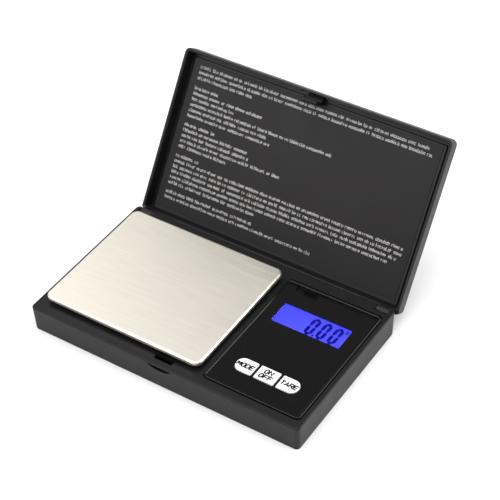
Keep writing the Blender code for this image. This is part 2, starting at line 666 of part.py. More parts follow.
def build_board():
    """Main board with its chips, its three tact switches and its screws."""
    board = finish("main_board", plate(BOARD_X, BOARD_Y, BOARD_Z, 1 * MM), GREEN_BOARD)
    cut(board, "holes", rods([(x, y, 0) for x, y in BOARD_SCREWS], 1.2 * MM, (3 * MM, 8 * MM), sides=16))
    blob = [(3.6 * MM, 0), (3.3 * MM, 0.5 * MM), (2.4 * MM, 0.95 * MM), (1.0 * MM, 1.2 * MM)]
    low = BOARD_Z[1] + 0.05 * MM
    finish("controller_chip", turned(blob, (46 * MM, -6 * MM, low), sides=20), RUBBER, smooth=True)
    finish("converter_chip", box(((28 * MM, 33 * MM), (-9 * MM, -5 * MM), (low, low + 1.4 * MM))), RUBBER)
    for index, name in enumerate(KEY_NAMES):
        centre = (KEY_X[index], KEY_Y, 0)
        square = 3.0 * MM
        spans = ((centre[0] - square, centre[0] + square), (centre[1] - square, centre[1] + square))
        switch = finish(f"switch_{name}", box((*spans, (low, 8.95 * MM))), RUBBER)
        cut(switch, "well", turned([(1.8 * MM, 7.9 * MM), (1.8 * MM, 10 * MM)], centre, sides=16))
        plunger = turned([(1.6 * MM, 8.35 * MM), (1.6 * MM, 9.55 * MM)], centre, sides=16)
        finish(f"plunger_{name}", plunger, RUBBER, smooth=True)
    for index, (x, y) in enumerate(BOARD_SCREWS):
        screw(f"board_screw_{index + 1}", x, y, low, 2.4 * MM, 1.7 * MM, 0.9 * MM, 0.72 * MM, up=False)
    for index, (x, y) in enumerate(CASE_SCREWS):
        screw(f"case_screw_{index + 1}", x, y, 0.9 * MM, 7.4 * MM, 1.95 * MM, 0.75 * MM, 0.92 * MM)


def build_keys():
    for index, name in enumerate(KEY_NAMES):
        rings = []
        for z, extra in (
            (9.6 * MM, KEY_FLANGE),
            (10.8 * MM, KEY_FLANGE),
            (10.8 * MM, 0),
            (KEY_TOP_Z - 0.35 * MM, 0),
            (KEY_TOP_Z - 0.1 * MM, -0.1 * MM),
            (KEY_TOP_Z, -0.35 * MM),
        ):
            x, y = key_span(index, extra)
            rings.append(rounded_ring(x, y, key_radii(index, max(extra, -0.3 * MM)), z))
        finish(f"key_{name}", loft(rings), WHITE_ABS, smooth=True)


def build_lid():
    """Lid, modelled shut and then swung open about its hinge line."""
    half_x = BASE_W / 2 + DRAFT
    half_y = BASE_D / 2 + DRAFT
    swing = bpy.data.objects.new("lid_swing", None)
    bpy.context.scene.collection.objects.link(swing)
    swing.location = (0, AXIS_Y, AXIS_Z)

    def outside(z, inset):
        return rounded_ring(
            (-half_x + inset, half_x - inset), (-half_y + inset, half_y - inset), 2.4 * MM - 0.5 * inset, z
        )

    plateau_x = (-61.1 * MM, 61.1 * MM)
    plateau_y = (-34.35 * MM, half_y - LID_REAR_WALL - 0.35 * MM)
    inner_x = (-half_x + LID_WALL, half_x - LID_WALL)
    inner_y = (-half_y + LID_WALL, half_y - LID_REAR_WALL)
    rings = [
        rounded_ring(grown(plateau_x, -0.4 * MM), grown(plateau_y, -0.4 * MM), 0.8 * MM, PLATEAU_Z),
        rounded_ring(plateau_x, plateau_y, 1.0 * MM, PLATEAU_Z + 0.3 * MM),
        rounded_ring(plateau_x, plateau_y, 1.0 * MM, GROOVE_Z),
        rounded_ring(inner_x, inner_y, 1.2 * MM, GROOVE_Z),
        rounded_ring(inner_x, inner_y, 1.2 * MM, RIM_Z + 0.2 * MM),
        rounded_ring(grown(inner_x, 0.2 * MM), grown(inner_y, 0.2 * MM), 1.4 * MM, RIM_Z),
        outside(RIM_Z, 0.2 * MM),
        outside(RIM_Z + 0.2 * MM, 0),
        outside(LID_TOP_Z - 1.6 * MM, 0),
        outside(LID_TOP_Z - 1.0 * MM, 0.13 * MM),
        outside(LID_TOP_Z - 0.47 * MM, 0.47 * MM),
        outside(LID_TOP_Z - 0.12 * MM, 1.0 * MM),
        outside(LID_TOP_Z, 1.6 * MM),
    ]
    shell = finish("lid_shell", loft(rings), BLACK_ABS, smooth=True)
    ears = bmesh.new()
    for side in (-1, 1):
        start = EAR_X[0] if side > 0 else -EAR_X[1]
        add_turned(ears, [(BARREL_R, 0), (BARREL_R, EAR_X[1] - EAR_X[0])], (start, AXIS_Y, AXIS_Z), "X")
    fuse(shell, "ear_barrels", ears)
    webs = []
    for side in (-1, 1):
        x = sorted((side * EAR_X[0], side * EAR_X[1]))
        webs.append((x, (AXIS_Y - 1.7 * MM, half_y), (AXIS_Z + 0.3 * MM, RIM_Z + 0.8 * MM)))
    fuse(shell, "ear_webs", box(*webs))
    bores = [(EAR_X[0] - 1 * MM, AXIS_Y, AXIS_Z), (-EAR_X[1] + 0.6 * MM, AXIS_Y, AXIS_Z)]
    bore_end = EAR_X[1] - EAR_X[0] + 0.4 * MM
    cut(shell, "pin_bores", rods(bores, PIN_R + 0.06 * MM, (0, bore_end), "X"))
    heels = bmesh.new()
    for side in (-1, 1):
        x = sorted((side * (EAR_X[1] + 0.4 * MM), side * 66 * MM))
        profile = (
            (half_y - HEEL, RIM_Z),
            (half_y - HEEL - 1 * MM, RIM_Z - 1 * MM),
            (half_y + 1 * MM, RIM_Z - 1 * MM),
            (half_y + 1 * MM, RIM_Z + HEEL + 1 * MM),
            (half_y, RIM_Z + HEEL),
        )
        add_loft(heels, [[(across, y, z) for y, z in profile] for across in x])
    cut(shell, "heels", heels)
    recess = (
        (-6 * MM, 6 * MM),
        (-half_y + 0.85 * MM, plateau_y[0] + 2.2 * MM),
        (RIM_Z - 1 * MM, GROOVE_Z - 0.2 * MM),
    )
    cut(shell, "latch_recess", box(recess))

    label_x = (-59.8 * MM, 59.8 * MM)
    label_y = (-33.35 * MM, 33.05 * MM)
    label_z = (PLATEAU_Z - 0.2 * MM, PLATEAU_Z - 0.04 * MM)
    label = finish("lid_label", loft([label_ring(label_x, label_y, z) for z in label_z]), LABEL_GREY)
    latch = finish("lid_latch", latch_body(), BLACK_ABS)
    to_axis = Matrix.Translation(-swing.location)
    for obj in (shell, label, latch, *[modifier.object for modifier in shell.modifiers]):
        obj.data.transform(to_axis)
        obj.parent = swing
    swing.rotation_euler = (-LID_OPEN, 0, 0)

    pin = [(0.6 * PIN_R, 0), (PIN_R, 0.3 * MM), (PIN_R, PIN_L - 0.3 * MM), (0.6 * PIN_R, PIN_L)]
    for name, start in (("hinge_pin_right", 48.7 * MM), ("hinge_pin_left", -48.7 * MM - PIN_L)):
        finish(name, turned(pin, (start, AXIS_Y, AXIS_Z), "X", sides=16), STEEL, smooth=True)


def label_ring(x, y, z):
    """Label outline, with a cut-out at its front edge for the latch recess."""
    deep = y[0] + 1.35 * MM
    return [
        (x[1], y[1], z),
        (x[0], y[1], z),
        (x[0], y[0], z),
        (-6.5 * MM, y[0], z),
        (-6.5 * MM, deep, z),
        (6.5 * MM, deep, z),
        (6.5 * MM, y[0], z),
        (x[1], y[0], z),
    ]


def latch_body():
    """Hook with a barbed tip, drawn as a side profile in Y and Z and extruded along X."""
    root_z = GROOVE_Z - 0.25 * MM
    profile = (
        (-36.5 * MM, root_z),
        (-36.5 * MM, 15.4 * MM),
        (-33.9 * MM, 14.2 * MM),
        (-33.9 * MM, 10.6 * MM),
        (-34.5 * MM, 10.1 * MM),
        (-33.9 * MM, 9.3 * MM),
        (-33.2 * MM, 9.3 * MM),
        (-32.7 * MM, 10.0 * MM),
        (-32.7 * MM, root_z),
    )
    half = 3.6 * MM
    return loft([[(x, y, z) for y, z in profile] for x in (-half, half)])


def main():
    clear_scene()
    build_housing()
    build_bottom_cover()
    build_battery_door()
    build_power()
    build_load_cell()
    build_platform()
    build_panel()
    build_board()
    build_keys()
    build_lid()


main()
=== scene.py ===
import json
import math
import random

import bmesh
import bpy
from mathutils import Matrix, Vector

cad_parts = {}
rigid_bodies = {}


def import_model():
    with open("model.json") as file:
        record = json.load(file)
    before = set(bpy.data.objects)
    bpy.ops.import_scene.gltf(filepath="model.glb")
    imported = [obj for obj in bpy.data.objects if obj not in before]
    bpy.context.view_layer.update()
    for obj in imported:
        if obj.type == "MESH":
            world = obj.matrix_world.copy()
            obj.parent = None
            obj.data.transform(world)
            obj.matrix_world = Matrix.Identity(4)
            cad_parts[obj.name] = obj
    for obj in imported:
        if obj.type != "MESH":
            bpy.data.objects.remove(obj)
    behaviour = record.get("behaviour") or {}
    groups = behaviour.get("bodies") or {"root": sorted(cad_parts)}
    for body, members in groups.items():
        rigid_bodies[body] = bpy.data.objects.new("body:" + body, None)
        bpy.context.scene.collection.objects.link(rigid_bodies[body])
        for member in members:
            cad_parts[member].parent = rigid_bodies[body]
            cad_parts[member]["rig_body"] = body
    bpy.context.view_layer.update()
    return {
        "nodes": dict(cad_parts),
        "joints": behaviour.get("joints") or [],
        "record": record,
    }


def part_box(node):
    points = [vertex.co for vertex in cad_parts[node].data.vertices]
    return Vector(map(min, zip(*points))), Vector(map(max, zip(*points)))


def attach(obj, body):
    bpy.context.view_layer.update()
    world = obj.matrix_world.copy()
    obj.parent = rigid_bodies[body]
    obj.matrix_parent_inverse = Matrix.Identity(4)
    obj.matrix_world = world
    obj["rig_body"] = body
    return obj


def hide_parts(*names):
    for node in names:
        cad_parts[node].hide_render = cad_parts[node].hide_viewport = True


# Looks of the flip-lid pocket gram scale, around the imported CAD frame. Metres, +Z up, front towards -Y.
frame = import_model()
SLOTS = {part["node"]: part["material_slot"] for part in frame["record"]["subparts"]}
MM = 0.001
BLACK = (0.007, 0.007, 0.0075)

# Camera and light
AZIMUTH = math.radians(34.57)
ELEVATION = math.radians(41.92)
ROLL = math.radians(-2.30)
AIM = Vector((9.75, 14.74, 37.47)) * MM
DISTANCE = 0.62
FOCAL_LENGTH = 112.0

# Case, as in the CAD
BASE_W = 128.0 * MM
BASE_D = 74.4 * MM
DECK_Z = 12.2 * MM
DRAFT = 0.4 * MM
WALL = 1.8 * MM
CEILING_Z = 10.4 * MM
HUMP_X = (-53.4 * MM, 3.4 * MM)
HUMP_Y = (7.4 * MM, 31.4 * MM)
HUMP_Z = 13.1 * MM
POST_R = 2.6 * MM
SCREW_WAY_R = 1.0 * MM
POSTS = [(x, y) for x in (-59.0 * MM, 59.0 * MM) for y in (-32.0 * MM, 28.4 * MM)]
DOOR_X = (-51.8 * MM, 1.8 * MM)
LATCH_SLOT = ((-4.3 * MM, 4.3 * MM), (-34.8 * MM, -32.4 * MM))
BOSS_WAY = ((-11.1 * MM, 2.3 * MM), (-7.1 * MM, 6.1 * MM))
PANEL_GAP = 0.35 * MM
TROUGH = 0.8 * MM

# Lid, in its shut position
HINGE = next(joint for joint in frame["joints"] if joint["name"] == "lid_hinge")
AXIS = Vector(HINGE["pos_m"])
LID_OPEN = -math.radians(HINGE["range_deg"][0])
LID_SWING = Matrix.Translation(AXIS) @ Matrix.Rotation(-LID_OPEN, 4, "X") @ Matrix.Translation(-AXIS)
RIM_Z = 12.35 * MM
LID_TOP_Z = 19.15 * MM
LID_WALL = 1.45 * MM
LID_REAR_WALL = 2.6 * MM
GROOVE_Z = 17.95 * MM
PLATEAU_Z = 16.95 * MM
PLATEAU_X = (-61.1 * MM, 61.1 * MM)
PLATEAU_Y = (-34.35 * MM, 34.65 * MM)
LABEL_X = (-59.8 * MM, 59.8 * MM)
LABEL_Y = (-33.35 * MM, 33.05 * MM)
LABEL_Z = (16.75 * MM, 16.91 * MM)
BARREL_R = 2.0 * MM
EAR_X = (56.2 * MM, 61.9 * MM)
HEEL = 2.8 * MM
KNUCKLE_X = (47.4 * MM, 55.6 * MM)
PIN_R = 0.75 * MM
BORE_R = PIN_R + 0.06 * MM
BORE_X = (48.4 * MM, 56.4 * MM)

# Display and keys
WINDOW_X = (24.05 * MM, 55.25 * MM)
WINDOW_Y = (7.1 * MM, 18.3 * MM)
DIGIT_X = (39.85 * MM, 45.15 * MM, 50.45 * MM)
DIGIT_Y = 13.1 * MM
DIGIT_W = 3.75 * MM
DIGIT_H = 9.8 * MM
DIGIT_BAR = 1.4 * MM
DIGIT_SLANT = math.tan(math.radians(2.7))
UNIT_AT = (53.1 * MM, 16.0 * MM)
KEYS = {"key_mode": ("MODE",), "key_power": ("ON", "OFF"), "key_tare": ("TARE",)}
LEGEND_CAP = 2.0 * MM
LEGEND_PITCH = 1.97 * MM
LEGEND_PEN = 0.58 * MM
LEGEND_SLANT = math.tan(math.radians(11))

# Strokes of the legends on a unit square: points from one end of the pen line to the other.
LEFT_HALF = [(0.3, 0), (0.05, 0.25), (0.05, 0.75), (0.3, 1)]
RIGHT_HALF = [(0.7, 1), (0.95, 0.75), (0.95, 0.25), (0.7, 0)]
ROUND_LETTER = LEFT_HALF + RIGHT_HALF + LEFT_HALF[:1]
LETTERS = {
    "A": [[(0, 0), (0.5, 1), (1, 0)], [(0.2, 0.3), (0.8, 0.3)]],
    "D": [[(0, 0), (0, 1), (0.6, 1), (1, 0.7), (1, 0.3), (0.6, 0), (0, 0)]],
    "E": [[(1, 1), (0, 1), (0, 0), (1, 0)], [(0, 0.5), (0.85, 0.5)]],
    "F": [[(1, 1), (0, 1), (0, 0)], [(0, 0.5), (0.85, 0.5)]],
    "M": [[(0, 0), (0, 1)], [(0.08, 1), (0.5, 0.35), (0.92, 1)], [(1, 1), (1, 0)]],
    "N": [[(0, 0), (0, 1), (1, 0), (1, 1)]],
    "O": [ROUND_LETTER],
    "R": [[(0, 0), (0, 1), (0.7, 1), (1, 0.88), (1, 0.62), (0.7, 0.48), (0, 0.48)], [(0.5, 0.48), (1, 0)]],
    "T": [[(0, 1), (1, 1)], [(0.5, 1), (0.5, 0)]],
}

CORNER_STEPS = 10
EDGE_STEPS = 5
ROUND = 40


# ---------------------------------------------------------------- meshes


def finish_piece(name, shape, material, body, replaces=(), lid=False):
    """Makes a piece from a bmesh, gives it its material and ties it to a body of the frame."""
    bmesh.ops.recalc_face_normals(shape, faces=shape.faces)
    mesh = bpy.data.meshes.new(name)
    shape.to_mesh(mesh)
    shape.free()
    mesh.shade_smooth()
    mesh.materials.append(material)
    piece = bpy.data.objects.new(name, mesh)
    bpy.context.scene.collection.objects.link(piece)
    if lid:
        piece.matrix_world = LID_SWING
    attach(piece, body)
    if replaces:
        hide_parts(*replaces)
    return piece


def apply_modifiers(piece):
    bpy.context.view_layer.update()
    evaluated = piece.evaluated_get(bpy.context.evaluated_depsgraph_get())
    mesh = bpy.data.meshes.new_from_object(evaluated)
    piece.modifiers.clear()
    piece.data = mesh


def carve(piece, operation, shape):
    """Cuts a closed shape out of the piece, or joins it on, in the piece's own space."""
    bmesh.ops.recalc_face_normals(shape, faces=shape.faces)
    mesh = bpy.data.meshes.new("tool")
    shape.to_mesh(mesh)
    shape.free()
    tool = bpy.data.objects.new("tool", mesh)
    tool.matrix_world = piece.matrix_world
    bpy.context.scene.collection.objects.link(tool)
    modifier = piece.modifiers.new("carve", "BOOLEAN")
    modifier.object = tool
    modifier.operation = operation
    modifier.solver = "EXACT"
    apply_modifiers(piece)
    bpy.data.objects.remove(tool)


def soften(piece, width, segments=2):
    """Rounds the sharp edges that are left and evens out the shading of the flat faces."""
    bevel = piece.modifiers.new("edges", "BEVEL")
    bevel.width = width
    bevel.segments = segments
    bevel.limit_method = "ANGLE"
    bevel.angle_limit = math.radians(40)
    bevel.miter_outer = "MITER_ARC"
    normals = piece.modifiers.new("normals", "WEIGHTED_NORMAL")
    normals.keep_sharp = True
    piece.data.shade_smooth()


def rounded_ring(x, y, radii, z, steps=CORNER_STEPS):
    """A rectangle with rounded corners, anticlockwise from the right rear; one radius or four."""
    if not isinstance(radii, tuple):
        radii = (radii,) * 4
    corners = ((x[1], y[1]), (x[0], y[1]), (x[0], y[0]), (x[1], y[0]))
    inward = ((-1, -1), (1, -1), (1, 1), (-1, 1))
    points = []
    for index, (corner, turn, radius) in enumerate(zip(corners, inward, radii)):
        for step in range(steps + 1):
            angle = math.pi / 2 * (index + step / steps)
            x_at = corner[0] + turn[0] * radius + radius * math.cos(angle)
            y_at = corner[1] + turn[1] * radius + radius * math.sin(angle)
            points.append((x_at, y_at, z))
    return points


def add_loft(shape, rings):
    rows = [[shape.verts.new(point) for point in ring] for ring in rings]
    count = len(rows[0])
    for lower, upper in zip(rows, rows[1:]):
        for i in range(count):
            j = (i + 1) % count
            shape.faces.new((lower[i], lower[j], upper[j], upper[i]))
    shape.faces.new(reversed(rows[0]))
    shape.faces.new(rows[-1])


def loft(rings):
    shape = bmesh.new()
    add_loft(shape, rings)
    return shape


def add_box(shape, x, y, z):
    corners = [(x[0], y[0]), (x[1], y[0]), (x[1], y[1]), (x[0], y[1])]
    add_loft(shape, [[(*corner, height) for corner in corners] for height in z])


def boxes(*spans):
    shape = bmesh.new()
    for x, y, z in spans:
        add_box(shape, x, y, z)
    return shape


def rods(centres, radius, along, axis="Z", sides=ROUND):
    order = {"X": (2, 0, 1), "Z": (0, 1, 2)}[axis]
    shape = bmesh.new()
    for centre in centres:
        rings = []
        for distance in along:
            ring = []
            for i in range(sides):
                angle = 2 * math.pi * i / sides
                local = (radius * math.cos(angle), radius * math.sin(angle), distance)
                ring.append(Vector(centre) + Vector([local[index] for index in order]))
            rings.append(ring)
        add_loft(shape, rings)
    return shape


def grown(span, by):
    return (span[0] - by, span[1] + by)


def span(node, axis):
    low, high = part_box(node)
    return (low[axis], high[axis])


def mirrored(span, side):
    """A span on the positive side, or its mirror image on the negative one."""
    return tuple(sorted((side * span[0], side * span[1])))


def round_over(radius, steps=EDGE_STEPS):
    """(distance below the top, inset) along a quarter circle, from the wall to the top."""
    for step in range(steps + 1):
        angle = math.pi / 2 * step / steps
        yield radius * (1 - math.sin(angle)), radius * (1 - math.cos(angle))


# ---------------------------------------------------------------- materials


class Look:
    """A Principled material with its node tree and the few nodes that the looks here need."""

    def __init__(self, name, colour, roughness, metallic=0.0, specular=0.5):
        self.material = bpy.data.materials.new(name)
        self.material.use_nodes = True
        self.tree = self.material.node_tree
        self.shader = self.tree.nodes["Principled BSDF"]
        self.set("Base Color", (*colour, 1))
        self.set("Roughness", roughness)
        self.set("Metallic", metallic)
        self.set("Specular IOR Level", specular)

    def set(self, socket, value):
        self.shader.inputs[socket].default_value = value

    def node(self, kind):
        return self.tree.nodes.new(kind)

    def link(self, output, node, socket):
        self.tree.links.new(output, node.inputs[socket])

    def noise(self, scale, stretch=(1, 1, 1), detail=3.0):
        """A noise value over the piece's own space; scale is in cells per metre."""
        place = self.node("ShaderNodeTexCoord")
        mapping = self.node("ShaderNodeMapping")
        mapping.inputs["Scale"].default_value = stretch
        self.link(place.outputs["Object"], mapping, "Vector")
        texture = self.node("ShaderNodeTexNoise")
        texture.inputs["Detail"].default_value = detail
        texture.inputs["Scale"].default_value = scale
        self.link(mapping.outputs["Vector"], texture, "Vector")
        return texture.outputs["Fac"]

    def ramp(self, value, low, high, socket, edges=(0.3, 0.7)):
        """Maps a value to numbers or colours between low and high, and feeds a socket of the shader."""
        ramp = self.node("ShaderNodeValToRGB")
        ramp.color_ramp.elements[0].position = edges[0]
        ramp.color_ramp.elements[1].position = edges[1]
        for element, end in zip(ramp.color_ramp.elements, (low, high)):
            element.color = (*end, 1) if isinstance(end, tuple) else (end, end, end, 1)
        self.link(value, ramp, "Fac")
        self.link(ramp.outputs["Color"], self.shader, socket)

    def bump(self, value, distance, strength=1.0):
        """Feeds the shader a normal bent by a height of up to the distance."""
        node = self.node("ShaderNodeBump")
        node.inputs["Distance"].default_value = distance
        node.inputs["Strength"].default_value = strength
        self.link(value, node, "Height")
        self.link(node.outputs["Normal"], self.shader, "Normal")


def scaled(colour, factor):
    return tuple(channel * factor for channel in colour)


def moulded(name, colour, roughness, grain=0.012 * MM, grain_scale=2600, specular=0.5):
    """Moulded plastic: fine spark-eroded grain, slow changes of tone and of gloss."""
    look = Look(name, colour, roughness, specular=specular)
    look.ramp(look.noise(90), scaled(colour, 0.86), scaled(colour, 1.14), "Base Color")
    look.ramp(look.noise(160, detail=5), roughness - 0.03, roughness + 0.03, "Roughness")
    look.bump(look.noise(grain_scale, detail=2), grain)
    return look.material


def polished(name, colour, roughness):
    """Polished acrylic: nearly a mirror, with faint haze and a few fine dust specks."""
    look = Look(name, colour, roughness, specular=0.22)
    look.ramp(look.noise(70, detail=6), roughness, roughness + 0.05, "Roughness", (0.45, 0.75))
    dust = look.noise(1500, detail=1)
    look.ramp(dust, colour, (0.035, 0.035, 0.035), "Base Color", (0.74, 0.82))
    look.bump(look.noise(25, detail=1), 0.004 * MM, 0.4)
    return look.material


def brushed(name, colour, roughness, stretch, strength=1.0):
    """Brushed metal: streaks along one direction in tone, gloss and height."""
    look = Look(name, colour, roughness, metallic=1.0)
    streaks = look.noise(60, stretch=stretch, detail=6)
    dark = scaled(colour, 1 - 0.09 * strength)
    pale = scaled(colour, 1 + 0.03 * strength)
    look.ramp(streaks, dark, pale, "Base Color")
    look.ramp(look.noise(35, stretch=stretch, detail=8), roughness - 0.05, roughness + 0.07, "Roughness")
    look.bump(look.noise(90, stretch=stretch, detail=4), 0.002 * MM * strength)
    return look.material


def plain_metal(name, colour, roughness):
    look = Look(name, colour, roughness, metallic=1.0)
    look.ramp(look.noise(400, detail=4), scaled(colour, 0.85), colour, "Base Color")
    look.ramp(look.noise(900, detail=3), roughness - 0.05, roughness + 0.1, "Roughness")
    look.bump(look.noise(1800), 0.003 * MM)
    return look.material


def soft_rubber(name, colour, roughness=0.7):
    look = Look(name, colour, roughness)
    look.ramp(look.noise(300, detail=4), scaled(colour, 0.8), scaled(colour, 1.15), "Base Color")
    look.ramp(look.noise(700), roughness - 0.08, roughness + 0.08, "Roughness")
    look.bump(look.noise(2200), 0.01 * MM)
    return look.material


def board_green(name):
    """Solder mask with paler copper tracks showing through."""
    look = Look(name, (0.02, 0.16, 0.07), 0.4)
    tracks = look.noise(420, stretch=(1, 0.3, 1), detail=0)
    look.ramp(tracks, (0.015, 0.12, 0.05), (0.05, 0.26, 0.1), "Base Color", (0.52, 0.56))
    look.ramp(look.noise(200), 0.32, 0.45, "Roughness")
    look.bump(tracks, 0.02 * MM)
    return look.material


def label_film(name, colour, roughness):
    """Printed film: even ink with a slight mottle and a faint orange-peel surface."""
    look = Look(name, colour, roughness, specular=0.22)
    look.ramp(look.noise(1200, detail=2), scaled(colour, 0.9), scaled(colour, 1.12), "Base Color")
    look.ramp(look.noise(45, detail=4), roughness - 0.05, roughness + 0.07, "Roughness")
    look.bump(look.noise(500, detail=2), 0.004 * MM)
    return look.material


def ink(name, colour, glow=None):
    """Flat printed ink; the display's segments also let a little of the backlight through."""
    look = Look(name, colour, 0.6, specular=0.1)
    look.ramp(look.noise(1700, detail=2), scaled(colour, 0.82), colour, "Base Color")
    if glow:
        look.ramp(look.noise(300), scaled(glow, 0.9), glow, "Emission Color")
        look.set("Emission Strength", 1.2)
    return look.material


def lit_display(name):
    """Blue liquid-crystal cell lit from behind, with slightly uneven light."""
    look = Look(name, (0.02, 0.02, 0.2), 0.35, specular=0.15)
    light = look.noise(55, detail=2)
    look.ramp(light, (0.045, 0.05, 1.0), (0.07, 0.075, 1.0), "Emission Color", (0.35, 0.65))
    look.ramp(look.noise(2500, detail=0), (0.02, 0.02, 0.16), (0.04, 0.04, 0.24), "Base Color")
    look.set("Emission Strength", 0.85)
    return look.material


def clear_window(name):
    """Clear plastic with weak reflections, so that the lit display shows through."""
    look = Look(name, (0.96, 0.97, 1.0), 0.02, specular=0.08)
    look.set("Transmission Weight", 1.0)
    look.set("IOR", 1.12)
    look.ramp(look.noise(80, detail=5), 0.015, 0.05, "Roughness")
    return look.material


def make_looks():
    return {
        "case_black": moulded("case_black", BLACK, 0.4, specular=0.23),
        "lid_black": moulded("lid_black", BLACK, 0.44, specular=0.32),
        "pan_steel": brushed("pan_steel", (0.93, 0.875, 0.775), 0.36, (1.2, 70, 70), 0.9),
        "panel_gloss": polished("panel_gloss", (0.0035, 0.003, 0.003), 0.05),
        "window_clear": clear_window("window_clear"),
        "lcd_glass": lit_display("lcd_glass"),
        "backlight_blue": lit_display("backlight_blue"),
        "lcd_ink": ink("lcd_ink", (0.001, 0.001, 0.02), (0.0, 0.0, 0.24)),
        "key_white": moulded("key_white", (0.80, 0.81, 0.83), 0.38, 0.004 * MM),
        "key_ink": ink("key_ink", (0.006, 0.006, 0.008)),
        "steel": plain_metal("steel", (0.62, 0.6, 0.57), 0.3),
        "aluminium": brushed("aluminium", (0.78, 0.79, 0.8), 0.38, (1, 14, 14), 1.4),
        "board_green": board_green("board_green"),
        "black_rubber": soft_rubber("black_rubber", (0.02, 0.02, 0.021)),
        "silicone_white": soft_rubber("silicone_white", (0.72, 0.72, 0.69), 0.6),
        "label_grey": label_film("label_grey", (0.0095, 0.008, 0.0085), 0.4),
        "label_ink": ink("label_ink", (0.74, 0.73, 0.72)),
        "label_pale": label_film("label_pale", (0.62, 0.62, 0.6), 0.45),
        "cell_blue": label_film("cell_blue", (0.03, 0.06, 0.16), 0.3),
        "wire_red": soft_rubber("wire_red", (0.5, 0.02, 0.015), 0.45),
    }


# ---------------------------------------------------------------- case


def build_case(look):
    """Upper shell of the case, with its deck, walls, openings and hinge knuckles."""
    half = Vector((BASE_W / 2, BASE_D / 2))

    def outside(z, inset):
        out = DRAFT * z / DECK_Z - inset
        return rounded_ring(
            (-half.x - out, half.x + out), (-half.y - out, half.y + out), 1.8 * MM + 0.3 * out, z
        )

    inner_x = (-half.x + WALL, half.x - WALL)
    inner_y = (-half.y + WALL, half.y - WALL)
    rings = [rounded_ring(inner_x, inner_y, 0.8 * MM, z) for z in (CEILING_Z, 0.3 * MM)]
    rings.append(rounded_ring(grown(inner_x, 0.2 * MM), grown(inner_y, 0.2 * MM), 1.0 * MM, 0))
    rings += reversed([outside(drop, inset) for drop, inset in round_over(0.35 * MM, 3)])
    rings += [outside(DECK_Z - drop, inset) for drop, inset in round_over(0.7 * MM)]
    shape = loft(rings)
    case = finish_piece("case_upper", shape, look["case_black"], "base", ["housing"])

    into_deck = CEILING_Z + 0.3 * MM
    hump = [rounded_ring(HUMP_X, HUMP_Y, 2 * MM, into_deck)]
    for drop, inset in round_over(0.5 * MM):
        x = grown(HUMP_X, -inset)
        y = grown(HUMP_Y, -inset)
        hump.append(rounded_ring(x, y, 2 * MM - inset, HUMP_Z - drop))
    carve(case, "UNION", loft(hump))
    ear_walls = []
    knuckles = []
    for side in (-1, 1):
        x = mirrored((54.4 * MM, half.x - 0.6 * MM), side)
        ear_walls.append((x, (32.4 * MM, half.y - 0.6 * MM), (5.6 * MM, into_deck)))
        knuckles.append((mirrored(KNUCKLE_X, side)[0], AXIS.y, AXIS.z))
    carve(case, "UNION", boxes(*ear_walls))
    posts = [(x, y, 0) for x, y in POSTS]
    carve(case, "UNION", rods(posts, POST_R, (1.9 * MM, into_deck)))
    carve(case, "UNION", rods(knuckles, BARREL_R, (0, KNUCKLE_X[1] - KNUCKLE_X[0]), "X"))

    notches = []
    bores = []
    for side in (-1, 1):
        x = mirrored((EAR_X[0] - 0.3 * MM, EAR_X[1] + 0.35 * MM), side)
        notches.append((x, (33.8 * MM, 41 * MM), (7.0 * MM, 14 * MM)))
        bores.append((mirrored(BORE_X, side)[0], AXIS.y, AXIS.z))
    carve(case, "DIFFERENCE", boxes(*notches))
    carve(case, "DIFFERENCE", rods(bores, BORE_R, (0, BORE_X[1] - BORE_X[0]), "X"))
    carve(case, "DIFFERENCE", rods(posts, SCREW_WAY_R, (1 * MM, 8.2 * MM)))
    cells_x = (HUMP_X[0] + 2.8 * MM, HUMP_X[1] - 2.8 * MM)
    cells_y = (HUMP_Y[0] + 0.8 * MM, HUMP_Y[1] - 1.0 * MM)
    carve(case, "DIFFERENCE", boxes((cells_x, cells_y, (CEILING_Z - 1 * MM, HUMP_Z - 1.15 * MM))))

    panel_x = span("panel_bezel", 0)
    panel_y = span("panel_bezel", 1)
    seat_x = grown(panel_x, PANEL_GAP)
    seat_y = (panel_y[0] - PANEL_GAP, panel_y[1] + TROUGH)
    seat_z = span("panel_bezel", 2)[0] - 0.05 * MM
    seat = loft([rounded_ring(seat_x, seat_y, 1.8 * MM + PANEL_GAP, z) for z in (seat_z, 15 * MM)])
    carve(case, "DIFFERENCE", seat)
    through = (5 * MM, 15 * MM)
    opening = (grown(panel_x, -2.2 * MM), grown(panel_y, -2.0 * MM), through)
    carve(case, "DIFFERENCE", boxes(opening, (*LATCH_SLOT, through), (*BOSS_WAY, through)))
    carve(case, "DIFFERENCE", boxes((DOOR_X, (33 * MM, 40 * MM), (-1 * MM, 2.9 * MM))))
    carve(case, "DIFFERENCE", finger_scoop())
    soften(case, 0.14 * MM)


def finger_scoop():
    """A thumbnail recess in the front wall, straight along its top and curved along its bottom."""
    half = 6.2 * MM
    drop = 2.0 * MM
    top = 11.1 * MM
    radius = (half**2 + drop**2) / (2 * drop)
    spread = math.asin(half / radius)
    steps = 32
    rows = []
    for y in (-BASE_D / 2 - 2 * MM, -BASE_D / 2 + 1.3 * MM):
        row = []
        for step in range(steps + 1):
            angle = spread * (2 * step / steps - 1)
            row.append((radius * math.sin(angle), y, top - drop + radius * (1 - math.cos(angle))))
        rows.append(row)
    return loft(rows)


